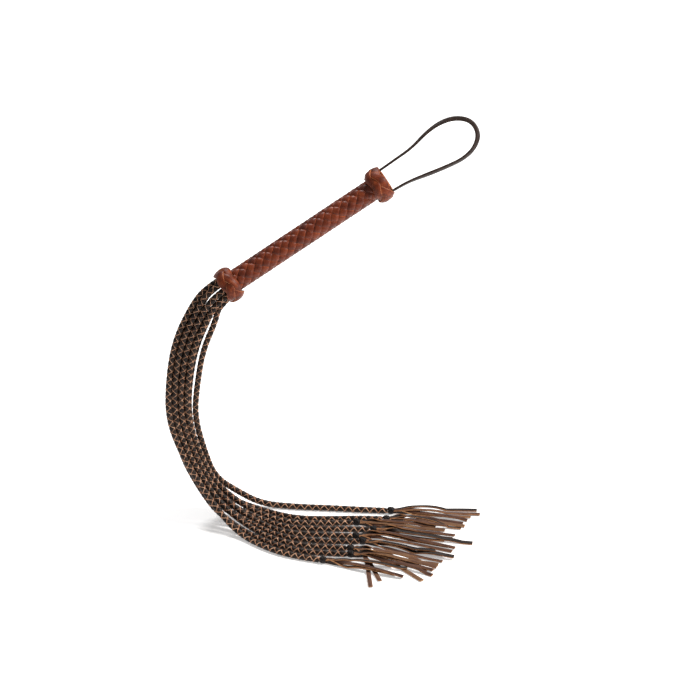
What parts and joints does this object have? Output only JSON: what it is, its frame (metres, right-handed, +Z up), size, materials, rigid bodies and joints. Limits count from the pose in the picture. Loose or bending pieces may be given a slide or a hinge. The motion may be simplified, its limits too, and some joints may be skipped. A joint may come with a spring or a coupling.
{
  "type": "plaited leather whip",
  "caption": "Hand-plaited leather whip: a short covered handle with a ball knot at each end, a wrist loop at the butt, and long plaited tails that end in knotted fringes.",
  "frame": {"origin": "middle of the grip, on the handle's middle line, half-way between the two knots", "axes": "+Z up; the handle rises at 28.6 degrees towards +X and +Y, and the tails hang from its low end and lie along +X on a floor 350 mm below the origin"},
  "size_m": [0.363, 0.2534, 0.4675],
  "materials": {
    "handle_leather": "waxed reddish-brown plaited leather, satin",
    "knot_leather": "waxed chestnut lace, satin",
    "strap_leather": "dark brown lace, satin",
    "tail_leather": "dark brown plaited leather with tan cut edges",
    "fringe_leather": "brown suede lace ends",
    "dark_leather": "near-black leather",
    "wood_core": "plain turned wood",
    "twine": "wound twine",
    "felt": "pressed felt",
    "waxed_thread": "waxed linen thread"
  },
  "bodies": {
    "handle": {"handle_core": "wood_core", "core_wrap": "twine", "handle_cover": "handle_leather", "butt_cap": "dark_leather", "butt_knot": "knot_leather", "collar_knot": "knot_leather", "butt_foundation": "felt", "collar_foundation": "felt", "tail_binding": "waxed_thread", "loop_binding": "waxed_thread", "loop_ends": "strap_leather", "tail_roots": "tail_leather"},
    "loop": {"wrist_loop": "strap_leather"},
    "tails": {"tail_1": "tail_leather", "tail_1_tie": "dark_leather", "tail_1_fringe": "fringe_leather", "tail_2": "tail_leather", "tail_2_tie": "dark_leather", "tail_2_fringe": "fringe_leather", "tail_3": "tail_leather", "tail_3_tie": "dark_leather", "tail_3_fringe": "fringe_leather", "tail_4": "tail_leather", "tail_4_tie": "dark_leather", "tail_4_fringe": "fringe_leather", "tail_5": "tail_leather", "tail_5_tie": "dark_leather", "tail_5_fringe": "fringe_leather", "tail_6": "tail_leather", "tail_6_tie": "dark_leather", "tail_6_fringe": "fringe_leather", "tail_7": "tail_leather", "tail_7_tie": "dark_leather", "tail_7_fringe": "fringe_leather", "tail_8": "tail_leather", "tail_8_tie": "dark_leather", "tail_8_fringe": "fringe_leather", "tail_9": "tail_leather", "tail_9_tie": "dark_leather", "tail_9_fringe": "fringe_leather"}
  },
  "joints": [
    {"name": "wrist_loop_swing", "type": "hinge", "parent": "handle", "child": "loop", "pos_m": [0.09653, 0.03192, 0.05543], "axis": [0.5524, -0.4169, -0.7218], "range_deg": [-60, 60], "stiffness_Nm_per_rad": 0.02},
    {"name": "tails_swing", "type": "hinge", "parent": "handle", "child": "tails", "pos_m": [-0.09361, -0.03096, -0.05376], "axis": [0, 0, 1], "range_deg": [-30, 30], "stiffness_Nm_per_rad": 0.2}
  ]
}
